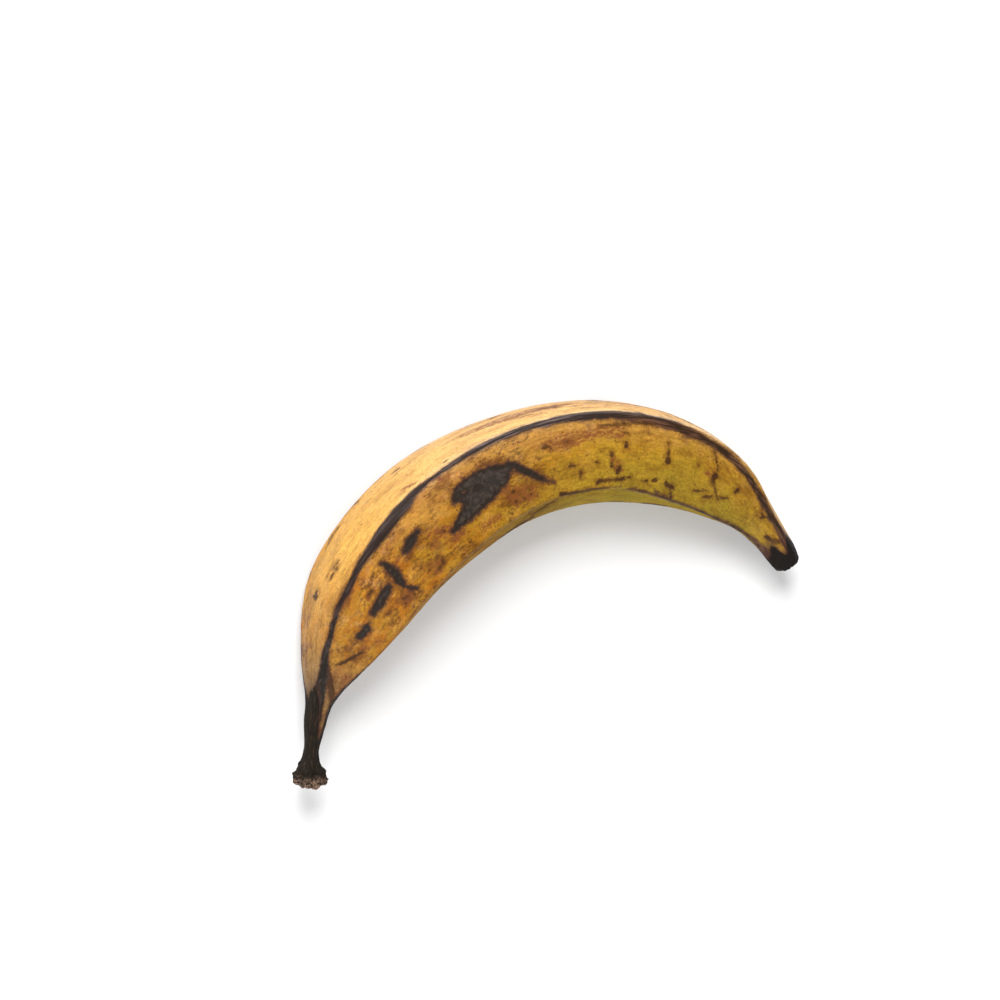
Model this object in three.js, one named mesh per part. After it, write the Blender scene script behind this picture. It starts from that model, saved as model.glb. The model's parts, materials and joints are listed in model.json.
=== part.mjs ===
// A ripe plantain, as picked, lying on its side on a flat surface.
// Millimetres, +Z up. The fruit curves in a plane parallel to the surface, with its outer side
// towards +Y, the stem at -X and the blossom end at +X. The origin is under the middle of the fruit.
// It is one closed body: stem, skin and blossom end grew as one piece.
import * as THREE from 'three';

// Driving dimensions
const LENGTH = 300; // from the torn end of the stem to the blossom end, along the curve
const REST_START = 70; // the stretch that lies on the surface
const REST_END = 238;
const REST_EASE = 16; // half of the length over which the height of the axis is evened out
const FLATTENED = 0.5; // how much its own weight flattens the underside
const ROLL = 5; // degrees that the fruit is rolled about its axis, to lie on its lower side

// The way the axis points at places along the fruit: [place, degrees from +X towards +Y]
const HEADINGS = [
  [0, 66], [22, 61], [36, 56], [52, 46.5], [72, 44], [100, 28],
  [135, 8.5], [170, -8], [205, -28], [240, -48], [270, -67], [300, -80],
];
// Ridge radius at places along the fruit: [place, radius]
const RIDGE_RADIUS = [
  [0, 5.6], [3, 7.2], [7, 5.9], [11, 3.9], [16, 3.3], [24, 4.7], [32, 5.7], [38, 7.9],
  [50, 14], [64, 20.4], [78, 24.5], [100, 26.7], [126, 27.4], [155, 25.6], [190, 24.3],
  [214, 23.3], [236, 20.4], [256, 16.2], [274, 10.2], [286, 7.9], [294, 7.2], [298.5, 6], [300, 4.8],
];
// How far the ridges wander round the fruit: [place, degrees]
const TWIST = [[0, 10], [110, -3], [176, -7], [208, -5], [238, -6], [256, -2], [274, 8], [300, 14]];
// How round the section is, from 0, a pentagon, to 1, a circle: [place, share]
const ROUNDNESS = [[0, 0.9], [16, 0.75], [34, 0.5], [60, 0.3], [240, 0.28], [280, 0.4], [300, 0.6]];

// The section is a pentagon with soft corners. 0 degrees is the outer side, 90 is up.
// Each ridge: [degrees, share of the ridge radius, degrees that it drifts towards the blossom end]
const RIDGES = [[45, 1, 0], [120, 1, 20], [180, 0.93, 12], [240, 1, 4], [315, 1, 0]];
const DRIFT = [[186, 0], [200, 0.12], [232, 0.88], [246, 1]]; // [place, share of the drift]
const CORNER_POWER = 18; // a higher power gives a tighter corner
const ROUND_SHARE = 0.9; // radius of the round section, as a share of the ridge radius
const KNOB_END = 12; // the torn knob's lobes fade out here
const LOBES = [[3, 0.13, 20], [5, 0.07, 130]]; // [count, share of the radius, degrees of the first]
const SCAR_DEPTH = 1.2; // how far the torn end is hollowed
const BLOSSOM_DEPTH = 0.9; // how far the blossom scar is hollowed
const HOLLOW_SHARE = 0.6; // where the hollows are half as deep, as a share of the end's radius

// Mesh
const SIDES = 48; // a side every 7.5 degrees, so that a corner lies on each ridge
const BELLY_STEP = 5; // distance between rings along the belly
const NECK_STEP = 3.6; // distance between rings on the two necks
const END_STEP = 1.9; // distance between rings at the two ends
const BELLY_START = 72;
const BELLY_END = 252;
const SPINE_STEP = 1; // distance between points of the axis
const EASE_STEPS = 8; // places looked at on each side to even out the height of the axis

const radians = THREE.MathUtils.degToRad;
const clamp = THREE.MathUtils.clamp;
const mix = THREE.MathUtils.lerp;
const smooth = THREE.MathUtils.smoothstep;

// The value at a place between the rows of a table, on a smooth curve through them.
function along(table, place) {
  const last = table.length - 1;
  if (place <= table[0][0]) return table[0][1];
  if (place >= table[last][0]) return table[last][1];
  const i = table.findIndex((row) => row[0] > place) - 1;
  const slope = (k) => {
    const before = table[Math.max(k - 1, 0)];
    const after = table[Math.min(k + 1, last)];
    return (after[1] - before[1]) / (after[0] - before[0]);
  };
  const [a, b] = [table[i], table[i + 1]];
  const span = b[0] - a[0];
  const t = (place - a[0]) / span;
  const keep = 1 - t;
  return keep * keep * (1 + 2 * t) * a[1] + t * t * (3 - 2 * t) * b[1]
    + span * t * keep * (keep * slope(i) - t * slope(i + 1));
}

function heading(place) {
  return radians(along(HEADINGS, place));
}

// Points of the axis, one every SPINE_STEP, found by walking along the headings.
function walkAxis() {
  const points = [new THREE.Vector2(0, 0)];
  for (let place = 0; place < LENGTH; place += SPINE_STEP) {
    const way = heading(place + SPINE_STEP / 2);
    const step = new THREE.Vector2(Math.cos(way), Math.sin(way)).multiplyScalar(SPINE_STEP);
    points.push(points[points.length - 1].clone().add(step));
  }
  return points;
}

const axisPoints = walkAxis();

function axisPoint(place) {
  const i = Math.min(Math.floor(place / SPINE_STEP), axisPoints.length - 2);
  return axisPoints[i].clone().lerp(axisPoints[i + 1], place / SPINE_STEP - i);
}

// The sides of the pentagon, each as the direction that it faces and its distance from the middle.
function pentagonSides(place) {
  const drifted = along(DRIFT, place);
  const corners = RIDGES.map(([angle, share, drift]) => (
    new THREE.Vector2(share, 0).rotateAround(new THREE.Vector2(), radians(angle + drift * drifted))
  ));
  return corners.map((from, i) => {
    const to = corners[(i + 1) % corners.length];
    const facing = new THREE.Vector2(to.y - from.y, from.x - to.x).normalize();
    return { facing: facing.angle(), distance: facing.dot(from) };
  });
}

// Radius of the section in one direction, as a share of the ridge radius.
function sectionShare(angle, place) {
  let sum = 0;
  for (const side of pentagonSides(place)) {
    const towards = Math.cos(angle - side.facing);
    if (towards > 0) sum += (towards / side.distance) ** CORNER_POWER;
  }
  return mix(sum ** (-1 / CORNER_POWER), ROUND_SHARE, along(ROUNDNESS, place));
}

// How much the torn knob bulges in one direction, as a share of its radius.
function knobLobes(angle, place) {
  let bulge = 0;
  for (const [count, share, first] of LOBES) {
    bulge += share * Math.cos(count * (angle - radians(first)));
  }
  return bulge * (1 - smooth(place, KNOB_END / 2, KNOB_END));
}

// A point of the skin beside the axis: x outwards, y up.
function skinPoint(place, angle, radius) {
  const share = sectionShare(angle, place) * (1 + knobLobes(angle, place));
  const turned = angle + radians(along(TWIST, place) + ROLL);
  return new THREE.Vector2(radius * share * Math.cos(turned), radius * share * Math.sin(turned));
}

// How far the skin reaches below the axis.
function depthBelow(place) {
  let lowest = 0;
  for (let i = 0; i < SIDES; i += 1) {
    lowest = Math.min(lowest, skinPoint(place, (i / SIDES) * 2 * Math.PI, along(RIDGE_RADIUS, place)).y);
  }
  return -lowest;
}

// Height of the axis: the underside lies on the surface from REST_START to REST_END.
function axisHeight(place) {
  let sum = 0;
  for (let i = -EASE_STEPS; i <= EASE_STEPS; i += 1) {
    sum += depthBelow(clamp(place + (i / EASE_STEPS) * REST_EASE, REST_START, REST_END));
  }
  return sum / (2 * EASE_STEPS + 1) - FLATTENED;
}

// Places of the rings: close together at the ends, wider along the belly.
function ringPlaces() {
  const places = [];
  for (let place = 0; place < LENGTH - END_STEP / 2;) {
    places.push(place);
    const atEnd = place < KNOB_END || place > LENGTH - KNOB_END;
    const onBelly = place >= BELLY_START && place < BELLY_END;
    place += onBelly ? BELLY_STEP : atEnd ? END_STEP : NECK_STEP;
  }
  return [...places, LENGTH];
}

// The outline from one end's middle to the other's, as radius and place, for the lathe.
function lengthwiseOutline() {
  const ring = (place) => new THREE.Vector2(along(RIDGE_RADIUS, place), place);
  const stemEnd = [
    new THREE.Vector2(0, SCAR_DEPTH),
    new THREE.Vector2(along(RIDGE_RADIUS, 0) * HOLLOW_SHARE, SCAR_DEPTH / 2),
  ];
  const blossomEnd = [
    new THREE.Vector2(along(RIDGE_RADIUS, LENGTH) * HOLLOW_SHARE, LENGTH - BLOSSOM_DEPTH / 2),
    new THREE.Vector2(0, LENGTH - BLOSSOM_DEPTH),
  ];
  return [...stemEnd, ...ringPlaces().map(ring), ...blossomEnd];
}

// A round straight fruit is turned on the lathe, then each point takes its place in the real
// section and along the axis.
function plantainGeometry() {
  const geometry = new THREE.LatheGeometry(lengthwiseOutline(), SIDES);
  const position = geometry.getAttribute('position');
  const heights = new Map();
  for (let i = 0; i < position.count; i += 1) {
    const place = position.getY(i);
    const radius = Math.hypot(position.getX(i), position.getZ(i));
    const angle = Math.atan2(position.getX(i), position.getZ(i));
    if (!heights.has(place)) heights.set(place, axisHeight(place));
    const beside = skinPoint(place, angle, radius);
    const way = heading(place);
    const middle = axisPoint(place);
    const height = Math.max(heights.get(place) + beside.y, 0);
    position.setXYZ(i, middle.x - Math.sin(way) * beside.x, middle.y + Math.cos(way) * beside.x, height);
  }
  geometry.computeBoundingBox();
  const centre = geometry.boundingBox.getCenter(new THREE.Vector3());
  geometry.translate(-centre.x, -centre.y, 0);
  geometry.computeVertexNormals();
  return geometry;
}

const skinMaterial = new THREE.MeshStandardMaterial({ color: 0xcf9a3a, roughness: 0.55, metalness: 0 });

const plantain = new THREE.Mesh(plantainGeometry(), skinMaterial);
plantain.name = 'plantain';

const group = new THREE.Group();
group.add(plantain);

export default group;
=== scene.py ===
# %% [markdown]
# # A ripe plantain
# A plantain is a large cooking banana. Its skin has five long ridges that blacken as the fruit ripens, and
# it bruises wherever it was knocked. Here one fruit lies on its side on a pale table. The imported model
# comes first: it fixes the fruit's size and place, and the finer fruit that is made below is centred over
# its box.

# %% Load the frame
import json
import math

import bpy
import numpy as np
from mathutils import Matrix, Vector, noise

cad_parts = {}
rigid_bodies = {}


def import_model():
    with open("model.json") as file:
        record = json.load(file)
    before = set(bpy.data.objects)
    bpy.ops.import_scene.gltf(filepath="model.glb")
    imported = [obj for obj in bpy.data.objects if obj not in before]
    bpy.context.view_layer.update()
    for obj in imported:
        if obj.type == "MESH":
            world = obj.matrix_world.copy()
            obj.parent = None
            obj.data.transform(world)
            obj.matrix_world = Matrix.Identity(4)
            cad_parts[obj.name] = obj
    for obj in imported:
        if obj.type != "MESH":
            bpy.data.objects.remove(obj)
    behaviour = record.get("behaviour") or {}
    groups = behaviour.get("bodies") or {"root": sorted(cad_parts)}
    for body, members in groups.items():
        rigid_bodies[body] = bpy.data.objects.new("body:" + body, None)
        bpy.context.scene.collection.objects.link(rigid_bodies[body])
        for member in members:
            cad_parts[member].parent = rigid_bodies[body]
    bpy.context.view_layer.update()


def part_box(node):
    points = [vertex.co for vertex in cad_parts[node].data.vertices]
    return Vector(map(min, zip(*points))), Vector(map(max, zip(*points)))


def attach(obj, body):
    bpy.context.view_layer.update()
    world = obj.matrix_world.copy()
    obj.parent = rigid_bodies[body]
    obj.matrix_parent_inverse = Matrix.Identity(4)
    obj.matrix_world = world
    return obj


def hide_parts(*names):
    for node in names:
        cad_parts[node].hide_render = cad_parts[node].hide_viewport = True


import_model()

bpy.ops.object.select_all(action="DESELECT")
MM = 0.001

# %% [markdown]
# ## The fruit's measures
# A place on the fruit is given in two numbers, as on a map: how far along the curve it is from the torn
# end of the stem, in millimetres, and how far round it is, in degrees, from the middle of the outer side
# (0) over the top (90) to the inner side (180). Short tables say how the way, the thickness and the ridges
# change along the fruit.

# %% Measures
LENGTH = 300.0
# The way the axis points: place, degrees from +X towards +Y
HEADINGS = [
    (0, 66), (22, 61), (36, 56), (52, 46.5), (72, 44), (100, 28),
    (135, 8.5), (170, -8), (205, -28), (240, -48), (270, -67), (300, -80),
]
# Ridge radius: place, millimetres
RIDGE_RADIUS = [
    (0, 5.6), (3, 7.2), (7, 5.9), (11, 3.9), (16, 3.3), (24, 4.7), (32, 5.7), (38, 7.9),
    (50, 14), (64, 20.4), (78, 24.5), (100, 26.7), (126, 27.4), (155, 25.6), (190, 24.3),
    (214, 23.3), (236, 20.4), (256, 16.2), (274, 10.2), (286, 7.9), (294, 7.2), (298.5, 6), (300, 4.8),
]
# Twist: place, degrees
TWIST = [(0, 10), (110, -3), (176, -7), (208, -5), (238, -6), (256, -2), (274, 8), (300, 14)]
# Roundness: place, share of a round section in the shape
ROUNDNESS = [(0, 0.9), (16, 0.75), (34, 0.5), (60, 0.3), (240, 0.28), (280, 0.4), (300, 0.6)]
# Ridges: degrees, share of the ridge radius, degrees that the ridge drifts towards the blossom end
RIDGES = [(45, 1.0, 0), (120, 1.0, 20), (180, 0.93, 12), (240, 1.0, 4), (315, 1.0, 0)]
DRIFT = [(186, 0), (200, 0.12), (232, 0.88), (246, 1)]  # place, share of the drift
print("ridges:", len(RIDGES), "largest ridge radius, mm:", max(row[1] for row in RIDGE_RADIUS))

# %% [markdown]
# A table gives its value at a few places only. Straight lines between its rows would leave kinks in the
# skin, so a smooth curve is laid through them.

# %% Read a table
def along(table, place):
    """The value of a table at each place, on a smooth curve through its rows."""
    xs = np.array([row[0] for row in table], float)
    ys = np.array([row[1] for row in table], float)
    place = np.clip(np.asarray(place, float), xs[0], xs[-1])
    before = np.maximum(np.arange(len(xs)) - 1, 0)
    after = np.minimum(np.arange(len(xs)) + 1, len(xs) - 1)
    slope = (ys[after] - ys[before]) / (xs[after] - xs[before])
    i = np.clip(np.searchsorted(xs, place, side="right") - 1, 0, len(xs) - 2)
    span = xs[i + 1] - xs[i]
    t = (place - xs[i]) / span
    keep = 1 - t
    ends = keep * keep * (1 + 2 * t) * ys[i] + t * t * (3 - 2 * t) * ys[i + 1]
    return ends + span * t * keep * (keep * slope[i] - t * slope[i + 1])


def smooth(value, low, high):
    """0 below low, 1 above high, and an even rise between them."""
    t = np.clip((np.asarray(value, float) - low) / (high - low), 0, 1)
    return t * t * (3 - 2 * t)


print("heading halfway along, degrees:", round(float(along(HEADINGS, LENGTH / 2)), 1))

# %% [markdown]
# Cut across, the fruit is a pentagon with soft corners. It is worked out from its five flat sides, blended
# so that the corners round off, and mixed with a circle where the fruit is rounder, towards its ends.

# %% The section
CORNER_POWER = 18.0  # more makes sharper ridges
ROUND_SHARE = 0.9  # radius of the round section, as a share of the ridge radius


def section_share(angle, place):
    """The section's radius in a direction, as a share of the ridge radius."""
    drifted = along(DRIFT, place)
    corners = []
    for degrees, share, drift in RIDGES:
        turned = np.radians(degrees + drift * drifted)
        corners.append((share * np.cos(turned), share * np.sin(turned)))
    total = 0
    for (x0, y0), (x1, y1) in zip(corners, corners[1:] + corners[:1]):
        facing = np.arctan2(x0 - x1, y1 - y0)
        distance = np.cos(facing) * x0 + np.sin(facing) * y0
        total = total + (np.maximum(np.cos(angle - facing), 0) / distance) ** CORNER_POWER
    roundness = along(ROUNDNESS, place)
    return (1 - roundness) * total ** (-1 / CORNER_POWER) + roundness * ROUND_SHARE


print("share at the outer side's middle:", round(float(section_share(0.0, LENGTH / 2)), 3))

# %% [markdown]
# The axis turns by the headings, seen from above. Its height follows from the section: the lowest point
# has to reach the table wherever the fruit rests on it.

# %% The axis
ROLL = 5.0  # degrees that the whole fruit is turned on its axis
REST = (70.0, 238.0)  # places between which the underside lies on the table
REST_EASE = 16.0  # millimetres to each side over which the height is evened out
REST_STEPS = 17
FLATTENED = 0.5  # millimetres of the underside that are pressed flat
DIRECTION_STEP = 7.5  # degrees between the directions that are tried for the lowest point


def axis_line():
    """The axis seen from above, a point every millimetre."""
    places = np.arange(0, LENGTH, 1.0)
    way = np.radians(along(HEADINGS, places + 0.5))
    steps = np.stack([np.cos(way), np.sin(way)], axis=1)
    return np.concatenate([[[0, 0]], np.cumsum(steps, axis=0)])


def depth_below(place):
    """How far the skin reaches below the axis."""
    angle = np.radians(np.arange(0, 360, DIRECTION_STEP))[None, :]
    place = place[:, None]
    radius = along(RIDGE_RADIUS, place) * section_share(angle, place)
    turned = angle + np.radians(along(TWIST, place) + ROLL)
    return -(radius * np.sin(turned)).min(axis=1)


def axis_height(place):
    """How high the axis is above the table. The underside lies on it over the stretch REST."""
    steps = np.linspace(-REST_EASE, REST_EASE, REST_STEPS)
    return sum(depth_below(np.clip(place + step, *REST)) for step in steps) / len(steps) - FLATTENED


AXIS = axis_line()
print("straight distance from end to end, mm:", round(float(np.linalg.norm(AXIS[-1] - AXIS[0])), 1))

# %% [markdown]
# ## A straight fruit first
# A curved body is hard to shape by hand, but a straight one is easy: a ring of points is extruded from the
# stem to the other end and made wider or narrower on the way, as a potter draws up clay. The bend comes
# last. The ring has a point on each ridge and one close by on either side, because the Subdivision Surface
# modifier keeps a corner firm only where its points are close together.

# %% The ring of points
SIDE_STEPS = (0.0, 0.17, 0.5, 0.83)  # share of the way from one ridge to the next


def ring_angles():
    """The directions of the ring's points, in degrees."""
    angles = []
    starts = [row[0] for row in RIDGES]
    for start, end in zip(starts, starts[1:] + [starts[0] + 360]):
        angles += [start + (end - start) * step for step in SIDE_STEPS]
    return angles


# Places of the rings, and how wide the ring is there as a share of the ridge radius
CUT_FACE = [(1.3, 0.25), (0.9, 0.55), (0.3, 0.8)]
SCAR_FACE = [(299.6, 0.8), (299.1, 0.55), (299.0, 0.25)]
END_PLACES = [0, 1.5, 3, 5, 7, 9, 11, 13.5, 16, 20, 24, 28, 32, 35, 38, 42, 46, 50, 56, 63]
TIP_PLACES = [259, 265, 271, 276, 281, 285, 288, 291, 294, 296.5, 298.5, 300]
BELLY_STEP = 7.5


def ring_rows():
    """Every ring as place and radius, from the middle of the stem's cut face to the middle of the scar."""
    belly = list(np.arange(END_PLACES[-1] + BELLY_STEP, TIP_PLACES[0] - 1, BELLY_STEP))
    skin = [(place, float(along(RIDGE_RADIUS, place))) for place in END_PLACES + belly + TIP_PLACES]
    cut = [(place, share * RIDGE_RADIUS[0][1]) for place, share in CUT_FACE]
    scar = [(place, share * RIDGE_RADIUS[-1][1]) for place, share in SCAR_FACE]
    return cut + skin + scar


rows = ring_rows()
angles = np.radians(ring_angles())
first_place, first_radius = rows[0]
bpy.ops.mesh.primitive_circle_add(
    vertices=len(angles), radius=first_radius * MM, fill_type="NOTHING", location=(0, 0, 0))
fruit = bpy.context.object
fruit.name = "plantain_fruit"
fruit.data.name = "plantain_fruit"
shares = section_share(angles, first_place)
for vertex, angle, share in zip(fruit.data.vertices, angles, shares):
    across = Vector((0, math.cos(angle), math.sin(angle))) * share * first_radius
    vertex.co = (across + Vector((first_place, 0, 0))) * MM
print("points in the ring:", len(angles), "rings:", len(rows))

# %% [markdown]
# Extruding moves a copy of the ring to the next place, and resizing it there sets the new width. A lathe
# would do the same for a round fruit, but the ring keeps the five sides from the start.

# %% Draw the ring out along the fruit
bpy.ops.object.mode_set(mode="EDIT")
bpy.ops.mesh.select_all(action="SELECT")
for (place, radius), (next_place, next_radius) in zip(rows, rows[1:]):
    bpy.ops.mesh.extrude_edges_move(
        TRANSFORM_OT_translate={"value": ((next_place - place) * MM, 0, 0)})
    growth = next_radius / radius
    bpy.ops.transform.resize(value=(1, growth, growth), center_override=(next_place * MM, 0, 0))
print("from the first ring to the last, mm:", rows[-1][0] - rows[0][0])

# %% [markdown]
# The tube is still open at both ends. Each end gets one face, and Poke turns that face into a fan of
# triangles round a middle point, so that the closed body subdivides evenly.

# %% Close the two ends
bpy.ops.mesh.select_all(action="DESELECT")
bpy.ops.mesh.select_mode(type="EDGE")
bpy.ops.mesh.select_non_manifold()
bpy.ops.mesh.fill_holes(sides=0)
bpy.ops.mesh.select_all(action="DESELECT")
bpy.ops.mesh.select_mode(type="FACE")
bpy.ops.mesh.select_face_by_sides(number=len(angles), type="EQUAL")
bpy.ops.mesh.poke()
bpy.ops.mesh.select_all(action="SELECT")
bpy.ops.mesh.normals_make_consistent(inside=False)
bpy.ops.object.mode_set(mode="OBJECT")
print("faces of the cage:", len(fruit.data.polygons))

# %% [markdown]
# The cage has far fewer points than the skin has bumps. Subdivision Surface splits each face three times
# over and rounds the cage off on the way. It is applied now, because the points that it makes are moved
# next.

# %% Subdivide it
FINE = 3
subsurf = fruit.modifiers.new("fine", "SUBSURF")
subsurf.levels = FINE  # the same as the levels of the render
subsurf.render_levels = FINE
bpy.ops.object.modifier_apply(modifier=subsurf.name)
print("faces of the fine body:", len(fruit.data.polygons))

# %% [markdown]
# ## Press it into its five-sided shape
# The rings only give a soft tube. Now every point is moved in or out to the radius that the section has in
# its direction. The skin stands up a little in a bead along each ridge, and the torn end of the stem is
# lumpy. The shape is still straight, so a point's place along and round the fruit is easy to read off, and
# it is kept with the mesh as attributes. All markings use those, so they follow the skin when the fruit is
# bent.

# %% Read and write the points
points = np.empty(len(fruit.data.vertices) * 3)
fruit.data.vertices.foreach_get("co", points)
points = points.reshape(-1, 3) / MM
place = points[:, 0].copy()
around = np.arctan2(points[:, 2], points[:, 1])
radius = np.hypot(points[:, 1], points[:, 2])
degrees_round = np.degrees(around)


def set_points(mesh, points):
    """Gives the mesh new points, in millimetres."""
    mesh.vertices.foreach_set("co", (points * MM).ravel())
    mesh.update()


def normals_of(mesh):
    """The outward direction at each point."""
    found = np.empty(len(mesh.vertices) * 3)
    mesh.vertices.foreach_get("normal", found)
    return found.reshape(-1, 3)


def fractal(points, size, octaves=3, seed=0.0):
    """Soft random hills between about -1 and 1. A hill is about size millimetres wide."""
    start = Vector((seed * 13.7, seed * 7.1, seed * 3.3))
    return np.array([noise.fractal(Vector(p) / size + start, 1.0, 2.0, octaves) for p in points])


def degrees_from(angle, middle):
    """How many degrees an angle is from a direction, between -180 and 180."""
    return (angle - middle + 180) % 360 - 180


# %% [markdown]
# The bead along a ridge is only a third of a millimetre high, yet it catches the light as a fine line. The
# lobes of the knob are waves round it. Both fade out before the hollow cut face and the scar, which keep
# their own rings.

# %% Press
KNOB_END = 12.0
LOBES = [(3, 0.13, 20), (5, 0.07, 130)]  # count, share of the radius, degrees of the first
BEAD_HEIGHT = 0.35
BEAD_WIDTH = 1.5
BEAD_STARTS, BEAD_STOPS = (30, 60), (280, 296)  # places between which the bead rises and sinks
SKIN_STARTS, SKIN_STOPS = (1.2, 3.5), (296.8, 299)  # the same for the skin beside the two end faces

lobes = sum(share * np.cos(count * (around - math.radians(first))) for count, share, first in LOBES)
lobes *= 1 - smooth(place, KNOB_END / 2, KNOB_END)
skin_radius = along(RIDGE_RADIUS, place) * section_share(around, place) * (1 + lobes)

ridge_distance = np.full(len(place), 1e3)
for ridge, _, drift in RIDGES:
    off_ridge = degrees_from(degrees_round, ridge + drift * along(DRIFT, place))
    away = np.radians(off_ridge) * along(RIDGE_RADIUS, place)
    ridge_distance = np.where(np.abs(away) < np.abs(ridge_distance), away, ridge_distance)
on_body = smooth(place, *BEAD_STARTS) * (1 - smooth(place, *BEAD_STOPS))
bead = BEAD_HEIGHT * np.exp(-(ridge_distance / BEAD_WIDTH) ** 2) * on_body
skin_radius += bead

on_skin = smooth(place, *SKIN_STARTS) * (1 - smooth(place, *SKIN_STOPS))
radius = radius * (1 - on_skin) + skin_radius * on_skin
points[:, 1] = radius * np.cos(around)
points[:, 2] = radius * np.sin(around)
straight = points.copy()
set_points(fruit.data, points)
print("widest, mm:", round(float(np.ptp(points[:, 2])), 1))

# %% [markdown]
# ## Marks on the skin
# Every knock leaves a bruise, and every rub a thin scar. Each mark is a short stroke of a brush over the
# map of the fruit: a row of points, each with its place, its direction and half the width of the brush
# there. For every point of the mesh the distance to the nearest stroke's edge is worked out, less than 0
# inside it. The material turns these distances into ragged stains, and the shape uses them too, because
# bruised skin sinks a little.

# %% The strokes, each point as place, degrees round, half the width in millimetres
BRUISES = [
    [(93.5, 61, 0.35), (94, 65, 0.8), (94, 71, 1.5), (93.5, 81, 1.9), (92.5, 90, 1.5), (92, 98, 0.7),
     (94, 106, 0.4)], [(110.5, 70, 1), (108, 71, 1.7), (105.5, 72, 2.1), (102.5, 74, 1.3)],
    [(88, 83, 1.5), (84.5, 83, 2.3), (80.5, 84, 2.2), (77, 83, 1.6)],
    [(71.5, 84, 1), (69, 85, 2), (66, 83, 1.6)], [(130, 69, 2), (128.5, 72, 1.4)],
    [(130.5, 66, 1.6), (133.5, 66, 2.4), (137, 67, 3), (141, 69, 3.8), (145, 71, 4), (149.5, 73, 3),
     (152.5, 73, 1.6)],
    [(147.5, 78, 4), (143, 81, 4.4), (139.5, 84, 4.7), (135, 86, 4.4), (131, 89, 3.7), (127.5, 91, 2.9),
     (124, 93, 2), (121, 94, 1)], [(132, 77, 2.6), (135.5, 78, 3.2)],
    [(152.5, 69, 1), (155, 75, 1.5), (157, 83, 1.6), (159.5, 89, 1.4), (162, 96, 1.0), (164.5, 101, 0.6),
     (167.5, 105, 0.2)], [(91.5, 96, 0.5), (92.5, 102, 0.8), (94, 108, 0.4)],
]
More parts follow.
